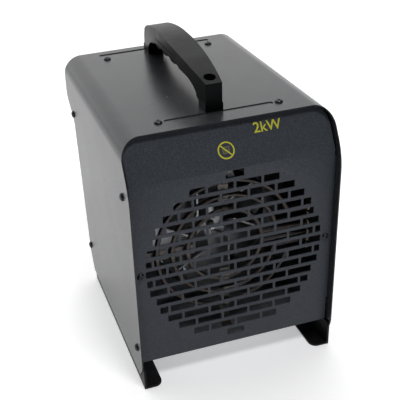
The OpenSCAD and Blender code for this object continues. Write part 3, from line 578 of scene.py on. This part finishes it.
EASED = {
    # node: (radius of the edge in mm, steps round it)
    "shell_cover": (0.35, 2), "front_panel": (0.16, 1), "rear_panel": (0.16, 1),
    "foot_rail_left": (0.4, 2), "foot_rail_right": (0.4, 2), "handle_arch": (1.1, 4),
    "handle_collars": (0.8, 3), "handle_insert": (0.7, 3), "thermostat_knob": (0.35, 2),
    "switch_knob": (0.35, 2), "cable_gland": (0.5, 2), "shell_screws": (0.18, 2), "panel_screws": (0.18, 2),
    "ceramic_terminal_block": (0.4, 2), "thermostat_body": (0.5, 2), "switch_body": (0.5, 2),
    "motor_coil": (2.0, 4), "reset_button": (0.5, 3), "reset_body": (0.4, 2), "motor_bracket_rear": (0.5, 2),
    "motor_bracket_front": (0.5, 2),
}
SHARP_ANGLE = math.radians(32)        # an edge that turns by more than this is eased
FLAT_ANGLE = math.radians(0.4)        # faces that turn by less than this are one face
MERGE_GAP = 0.002 * MM


def plain_mesh(holder):
    """What an object's modifiers or curve make, as a mesh of its own."""
    return bpy.data.meshes.new_from_object(holder.evaluated_get(bpy.context.evaluated_depsgraph_get()))


def even_normals(name, mesh):
    """An object whose large faces shade flat and whose rounded edges blend into them."""
    holder = bpy.data.objects.new(name + "_holder", mesh)
    bpy.context.scene.collection.objects.link(holder)
    weighted = holder.modifiers.new("even", "WEIGHTED_NORMAL")
    weighted.mode = "FACE_AREA"
    weighted.weight = 100
    weighted.keep_sharp = True
    bpy.context.view_layer.update()
    done = plain_mesh(holder)
    bpy.data.objects.remove(holder)
    done.name = name
    obj = bpy.data.objects.new(name, done)
    bpy.context.scene.collection.objects.link(obj)
    return obj


def eased_copy(node, radius, steps):
    """A copy of a CAD piece whose sharp edges are rounded, as paint and tooling leave them."""
    bm = bmesh.new()
    bm.from_mesh(NODES[node].data)
    bmesh.ops.remove_doubles(bm, verts=bm.verts, dist=MERGE_GAP)
    bmesh.ops.dissolve_limit(bm, angle_limit=FLAT_ANGLE, verts=bm.verts, edges=bm.edges)
    sharp = [e for e in bm.edges if len(e.link_faces) == 2 and e.calc_face_angle(0.0) > SHARP_ANGLE]
    bmesh.ops.bevel(bm, geom=sharp, offset=radius * MM, offset_type="OFFSET", segments=steps, profile=0.5,
                    affect="EDGES", clamp_overlap=True)
    for face in bm.faces:
        face.smooth = True
    for edge in bm.edges:
        edge.smooth = len(edge.link_faces) != 2 or edge.calc_face_angle(0.0) < SHARP_ANGLE
    bmesh.ops.triangulate(bm, faces=[f for f in bm.faces if len(f.verts) > 4])
    name = node + "_eased"
    mesh = bpy.data.meshes.new(name)
    bm.to_mesh(mesh)
    bm.free()
    obj = even_normals(name, mesh)
    obj.data.materials.append(NODE_FINISH[node])
    body = next(b for b, members in frame["record"]["behaviour"]["bodies"].items() if node in members)
    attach(obj, body)
    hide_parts(node)
    return obj


for eased_node, (edge_radius, edge_steps) in EASED.items():
    eased_copy(eased_node, edge_radius, edge_steps)


# ---------------------------------------------------------------- pieces made here

def mesh_object(name, mesh, material):
    obj = bpy.data.objects.new(name, mesh)
    bpy.context.scene.collection.objects.link(obj)
    dress(obj, material)
    return obj


def panel_frame(x, z):
    """A place on the leaning part of the front panel: X across, Y up the slope, Z out of the face."""
    up = Vector((0, PANEL_SLOPE, 1)).normalized()
    out = Vector((0, -1, PANEL_SLOPE)).normalized()
    across = Vector((1, 0, 0))
    place = Matrix((across, up, out)).transposed().to_4x4()
    place.translation = Vector((x, PANEL_FACE_Y + PANEL_SLOPE * (z - FOLD_Z), z))
    return place


def band_frame(axis, face_y):
    """A place on the upright control band, seen from behind: X to the viewer's right."""
    place = Matrix((Vector((-1, 0, 0)), Vector((0, 0, 1)), Vector((0, 1, 0)))).transposed().to_4x4()
    place.translation = Vector((axis.x, face_y, axis.z))
    return place


def flat_prism(bm, outline, low, high):
    """A thin prism over a closed outline of (x, y) points, counter-clockwise."""
    base = [bm.verts.new((x, y, low)) for x, y in outline]
    top = [bm.verts.new((x, y, high)) for x, y in outline]
    bm.faces.new(list(reversed(base)))
    bm.faces.new(top)
    count = len(outline)
    for i in range(count):
        j = (i + 1) % count
        bm.faces.new((base[i], base[j], top[j], top[i]))


def ring_prism(bm, r_in, r_out, low, high, steps=72):
    """A thin flat ring."""
    turns = [2 * math.pi * k / steps for k in range(steps)]
    rows = []
    for radius, z in ((r_in, low), (r_out, low), (r_out, high), (r_in, high)):
        rows.append([bm.verts.new((radius * math.cos(turn), radius * math.sin(turn), z)) for turn in turns])
    for a in range(4):
        b = (a + 1) % 4
        for k in range(steps):
            n = (k + 1) % steps
            bm.faces.new((rows[a][k], rows[a][n], rows[b][n], rows[b][k]))


def finish_mesh(bm, name, material, place):
    bmesh.ops.recalc_face_normals(bm, faces=bm.faces)
    mesh = bpy.data.meshes.new(name)
    bm.to_mesh(mesh)
    bm.free()
    mesh.transform(place)
    return mesh_object(name, mesh, material)


CAP_SHARE = 0.7                       # a capital's height as a share of the font's size
INK_DEPTH = 0.04 * MM                 # how far printed marks reach into the sheet


def lettering(name, words, height, weight, place, material):
    """Plain characters as a thin mesh, centred on the place."""
    curve = bpy.data.curves.new(name + "_curve", "FONT")
    curve.body = words
    curve.size = height / CAP_SHARE
    curve.offset = weight
    curve.extrude = INK_DEPTH
    curve.align_x = "CENTER"
    curve.align_y = "CENTER"
    curve.resolution_u = 4
    holder = bpy.data.objects.new(name + "_holder", curve)
    bpy.context.scene.collection.objects.link(holder)
    bpy.context.view_layer.update()
    mesh = plain_mesh(holder)
    bpy.data.objects.remove(holder)
    mesh.name = name
    mesh.transform(place)
    return mesh_object(name, mesh, material)


def power_marking():
    """The power figure printed on the leaning panel."""
    place = panel_frame(37.0 * MM, TOP_Z - 12.1 * MM)
    obj = lettering("power_marking", "2kW", 9.2 * MM, 0.14 * MM, place, YELLOW)
    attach(obj, "housing")


SYMBOL_STROKES = (
    # ends of each thin stroke in mm from the symbol's centre: x0, y0, x1, y1
    (-3.0, -2.4, -3.0, 1.6), (2.6, -2.4, 2.6, 1.6), (-3.0, -2.4, 2.6, -2.4), (-1.6, 2.8, 3.4, 2.8),
    (-1.2, -1.4, -1.2, 0.8), (0.7, -1.4, 0.7, 0.8),
)


def no_cover_symbol():
    """A ring and bar over a few thin grey strokes, printed on the leaning panel."""
    place = panel_frame(-4.8 * MM, TOP_Z - 24.7 * MM)
    bm = bmesh.new()
    ring_prism(bm, 6.55 * MM, 7.85 * MM, -INK_DEPTH, 0.05 * MM)
    half, wide = 6.7 * MM, 0.55 * MM
    turn = Matrix.Rotation(math.radians(-45), 3, "Z")
    bar = [turn @ Vector(p) for p in ((-half, -wide, 0), (half, -wide, 0), (half, wide, 0), (-half, wide, 0))]
    flat_prism(bm, [(p.x, p.y) for p in bar], -INK_DEPTH, 0.06 * MM)
    obj = finish_mesh(bm, "no_cover_symbol", YELLOW, place)
    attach(obj, "housing")
    bm = bmesh.new()
    thin = 0.3 * MM
    for x0, y0, x1, y1 in SYMBOL_STROKES:
        left, right = min(x0, x1) * MM - thin, max(x0, x1) * MM + thin
        foot, head = min(y0, y1) * MM - thin, max(y0, y1) * MM + thin
        flat_prism(bm, [(left, foot), (right, foot), (right, head), (left, head)], -INK_DEPTH, 0.03 * MM)
    block = finish_mesh(bm, "symbol_block", GREY_INK, place)
    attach(block, "housing")


# ---------------------------------------------------------------- geometry node groups

def geometry_group(name, inputs):
    """An empty geometry node group with a geometry input and output and named values."""
    group = bpy.data.node_groups.new(name, "GeometryNodeTree")
    group.interface.new_socket(name="Geometry", in_out="INPUT", socket_type="NodeSocketGeometry")
    for label, kind, value in inputs:
        socket = group.interface.new_socket(name=label, in_out="INPUT", socket_type="NodeSocket" + kind)
        if value is not None:
            socket.default_value = value
    group.interface.new_socket(name="Geometry", in_out="OUTPUT", socket_type="NodeSocketGeometry")
    return group, group.nodes.new("NodeGroupInput"), group.nodes.new("NodeGroupOutput")


def add_node(group, kind, **links):
    """A node whose inputs, named with underscores, are given as sockets or plain values."""
    node = group.nodes.new(kind)
    for label, value in links.items():
        socket = node.inputs[label.replace("_", " ")]
        if isinstance(value, bpy.types.NodeSocket):
            group.links.new(value, socket)
        else:
            socket.default_value = value
    return node


def close_group(group, geometry, material, outside):
    """Ends a group: instances made real, then the material given."""
    real = add_node(group, "GeometryNodeRealizeInstances", Geometry=geometry)
    dressed = add_node(group, "GeometryNodeSetMaterial", Geometry=real.outputs["Geometry"], Material=material)
    group.links.new(dressed.outputs["Geometry"], outside.inputs["Geometry"])
    return group


def make_tick_group():
    """Evenly turned bars on an arc, drawn clockwise from a start angle."""
    group, inside, outside = geometry_group("scale_ticks", (
        ("Count", "Int", 10), ("Start Angle", "Float", 0.0), ("Sweep", "Float", 1.0),
        ("Radius", "Float", 0.015), ("Length", "Float", 0.0014), ("Width", "Float", 0.0006),
        ("Height", "Float", 0.0001), ("Ink", "Material", None)))
    given = inside.outputs
    last = math_node(group, "SUBTRACT", given["Count"], 1.0)
    share = math_node(group, "DIVIDE", group.nodes.new("GeometryNodeInputIndex").outputs[0], last)
    angle = math_node(group, "SUBTRACT", given["Start Angle"], times(group, share, given["Sweep"]))
    across = times(group, math_node(group, "COSINE", angle), given["Radius"])
    up = times(group, math_node(group, "SINE", angle), given["Radius"])
    spot = add_node(group, "ShaderNodeCombineXYZ", X=across, Y=up)
    turn = add_node(group, "ShaderNodeCombineXYZ", Z=angle)
    size = add_node(group, "ShaderNodeCombineXYZ", X=given["Length"], Y=given["Width"], Z=given["Height"])
    points = add_node(group, "GeometryNodePoints", Count=given["Count"], Position=spot.outputs[0])
    bar = add_node(group, "GeometryNodeMeshCube", Size=size.outputs[0])
    placed = add_node(group, "GeometryNodeInstanceOnPoints", Points=points.outputs[0],
                      Instance=bar.outputs["Mesh"], Rotation=turn.outputs[0])
    return close_group(group, placed.outputs["Instances"], given["Ink"], outside)


def make_wire_group():
    """Round wires along every run of edges, their bends rounded."""
    group, inside, outside = geometry_group("sleeved_wires", (
        ("Bend Radius", "Float", 0.008), ("Bend Steps", "Int", 7), ("Wire Radius", "Float", 0.0011),
        ("Sides", "Int", 16), ("Insulation", "Material", None)))
    given = inside.outputs
    path = add_node(group, "GeometryNodeMeshToCurve", Mesh=given["Geometry"])
    bent = group.nodes.new("GeometryNodeFilletCurve")
    bent.mode = "POLY"
    group.links.new(path.outputs["Curve"], bent.inputs["Curve"])
    group.links.new(given["Bend Radius"], bent.inputs["Radius"])
    group.links.new(given["Bend Steps"], bent.inputs["Count"])
    bent.inputs["Limit Radius"].default_value = True
    round_wire = group.nodes.new("GeometryNodeCurvePrimitiveCircle")
    group.links.new(given["Sides"], round_wire.inputs["Resolution"])
    group.links.new(given["Wire Radius"], round_wire.inputs["Radius"])
    solid = add_node(group, "GeometryNodeCurveToMesh", Curve=bent.outputs["Curve"],
                     Profile_Curve=round_wire.outputs["Curve"], Fill_Caps=True)
    return close_group(group, solid.outputs["Mesh"], given["Insulation"], outside)


def make_rivet_group():
    """Domed rivet heads on every given point, all turned one way."""
    group, inside, outside = geometry_group("rivet_heads", (
        ("Head Radius", "Float", 0.0015), ("Dome", "Float", 0.5), ("Tilt", "Float", 0.0),
        ("Metal", "Material", None)))
    given = inside.outputs
    ball = add_node(group, "GeometryNodeMeshUVSphere", Segments=24, Rings=12, Radius=given["Head Radius"])
    size = add_node(group, "ShaderNodeCombineXYZ", X=1.0, Y=given["Dome"], Z=1.0)
    turn = add_node(group, "ShaderNodeCombineXYZ", X=given["Tilt"])
    placed = add_node(group, "GeometryNodeInstanceOnPoints", Points=given["Geometry"],
                      Instance=ball.outputs["Mesh"], Rotation=turn.outputs[0], Scale=size.outputs[0])
    return close_group(group, placed.outputs["Instances"], given["Metal"], outside)


def grown(name, group, start, material, values):
    """The plain mesh a geometry node group makes from a start mesh."""
    holder = bpy.data.objects.new(name + "_holder", start)
    bpy.context.scene.collection.objects.link(holder)
    modifier = holder.modifiers.new("grow", "NODES")
    modifier.node_group = group
    for item in group.interface.items_tree:
        if item.item_type == "SOCKET" and item.in_out == "INPUT" and item.name in values:
            modifier[item.identifier] = values[item.name]
    bpy.context.view_layer.update()
    mesh = plain_mesh(holder)
    holder.modifiers.remove(modifier)
    bpy.data.objects.remove(holder)
    mesh.name = name
    return mesh_object(name, mesh, material)


def edge_mesh(name, runs):
    """Loose edges through lists of points, or loose points where a run has only one."""
    verts, edges = [], []
    for run in runs:
        first = len(verts)
        verts += run
        edges += [(first + k, first + k + 1) for k in range(len(run) - 1)]
    mesh = bpy.data.meshes.new(name + "_path")
    mesh.from_pydata(verts, edges, [])
    return mesh


TICKS = make_tick_group()
WIRES = make_wire_group()
RIVETS = make_rivet_group()


# ---------------------------------------------------------------- wires, rivets and dial scales

def smooth(obj):
    for polygon in obj.data.polygons:
        polygon.use_smooth = True


def wire_runs():
    """The routes of the three element wires and the three switch wires."""
    def spot(x, depth, z):
        """A point from its distances in mm across, back from the lip, and up."""
        return x * MM, LIP_Y + depth * MM, z * MM
    terminal_x, lane_x = 95.5, 91.4                 # the element ends, and the lane outside the duct
    ring_d, bulkhead_d, back_d = 36.0, 92.0, 245.0  # depths of rings, bulkhead and control band (inside)
    pan_z, axis_z, knob_z = 26.5, FAN_AXIS.z / MM, POWER_AXIS.z / MM
    runs = []
    for i, leg in enumerate((5.0, 13.5, 22.0)):
        block_x, hole_z, tab_x = 41.0 + i * 13, 68.0 - i * 4, 37.0 + (i - 1) * 9
        runs.append([
            spot(terminal_x, ring_d + 2.8, axis_z - leg), spot(lane_x, ring_d + 13, axis_z - leg),
            spot(lane_x, bulkhead_d - 8, hole_z), spot(lane_x, bulkhead_d + 8, hole_z),
            spot(block_x, bulkhead_d + 34, pan_z + 9), spot(block_x, bulkhead_d + 46, pan_z + 8)])
        runs.append([
            spot(block_x, bulkhead_d + 64, pan_z + 8), spot(block_x, bulkhead_d + 76, pan_z + 9),
            spot(block_x - 6, bulkhead_d + 92, pan_z + 90), spot(block_x - 6, back_d - 44, knob_z - 24),
            spot(tab_x, back_d - 36, knob_z - 3), spot(tab_x, back_d - 30.4, knob_z)])
    return runs


def smooth_wires():
    """The harness with rounded bends in place of its straight runs."""
    obj = grown("element_wires", WIRES, edge_mesh("element_wires", wire_runs()), SILICONE,
                {"Bend Radius": 9 * MM, "Wire Radius": 1.1 * MM, "Insulation": SILICONE})
    smooth(obj)
    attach(obj, "housing")
    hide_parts("wire_harness")


def domed_rivets():
    """Rivet heads at the two ends of the rating plate."""
    radius = 1.5 * MM
    low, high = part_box("plate_rivets")
    tilt = -math.atan(REAR_SLOPE)
    y = (low.y + high.y) / 2 - 0.2 * MM
    z = (low.z + high.z) / 2
    heads = [[(low.x + radius, y, z)], [(high.x - radius, y, z)]]
    obj = grown("rivet_domes", RIVETS, edge_mesh("rivet_domes", heads), ZINC,
                {"Head Radius": radius, "Dome": 0.4, "Tilt": tilt, "Metal": ZINC})
    smooth(obj)
    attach(obj, "housing")
    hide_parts("plate_rivets")


def dial_marks(name, axis, start, end, count, words):
    """A printed scale round a knob, with evenly spaced characters outside its ticks.

    The angles are in degrees clockwise from the top, as seen from behind.
    """
    place = band_frame(axis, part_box("control_nuts")[0].y)
    text_radius = 17.2 * MM
    ticks = grown(name + "_ticks", TICKS, edge_mesh(name + "_ticks", []), WHITE_INK, {
        "Count": count, "Start Angle": math.radians(90 - start), "Sweep": math.radians(end - start),
        "Radius": 14.9 * MM, "Length": 1.4 * MM, "Width": 0.6 * MM, "Height": 0.12 * MM, "Ink": WHITE_INK})
    ticks.data.transform(place)
    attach(ticks, "housing")
    for k, word in enumerate(words):
        turn = math.radians(90 - start - (end - start) * k / (len(words) - 1))
        spot = place @ Matrix.Translation((text_radius * math.cos(turn), text_radius * math.sin(turn), 0))
        mark = lettering(f"{name}_mark_{k}", word, 2.1 * MM, 0.05 * MM, spot, WHITE_INK)
        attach(mark, "housing")


power_marking()
no_cover_symbol()
smooth_wires()
domed_rivets()
dial_marks("thermostat", THERMOSTAT_AXIS, 0, 270, 10, ("0", "1", "2", "3"))
dial_marks("power", POWER_AXIS, 0, 135, 4, ("0", "1", "2", "3"))


# ---------------------------------------------------------------- floor and light

def studio():
    """A pale floor, and a white world that brightens towards the back."""
    half, drop = 6, 0.0002
    bm = bmesh.new()
    for x, y in ((-half, -half), (half, -half), (half, half), (-half, half)):
        bm.verts.new((x, y, -drop))
    bm.faces.new(bm.verts)
    floor = finish_mesh(bm, "floor", studio_floor(), Matrix.Identity(4))
    world = bpy.data.worlds.new("studio")
    world.use_nodes = True
    tree = world.node_tree
    backdrop = tree.nodes["Background"]
    direction = axes_of(tree, tree.nodes.new("ShaderNodeTexCoord").outputs["Generated"])
    backdrop.inputs["Color"].default_value = (1.0, 1.0, 1.0, 1.0)
    tree.links.new(spread(tree, direction["Y"], -0.05, 0.85, 0.03, 1.45), backdrop.inputs["Strength"])
    bpy.context.scene.world = world
    bpy.context.scene.view_settings.view_transform = "Standard"


def soft_light(name, place, target, size, power):
    data = bpy.data.lights.new(name, "AREA")
    data.shape = "RECTANGLE"
    data.size, data.size_y = size
    data.energy = power
    light = bpy.data.objects.new(name, data)
    light.location = place
    light.rotation_euler = (Vector(target) - Vector(place)).to_track_quat("-Z", "Y").to_euler()
    bpy.context.scene.collection.objects.link(light)


studio()
soft_light("overhead_softbox", (-0.1, 1.0, 1.7), (-0.1, 0.9, 0.0), (2.4, 2.4), 16.0)
soft_light("front_softbox", (0.2, -0.9, 1.9), (0, 0, 0.2), (0.45, 0.45), 15.0)


# ---------------------------------------------------------------- an empty closing step

def write_sizes():
    """Imports json and does nothing else."""
    import json


write_sizes()
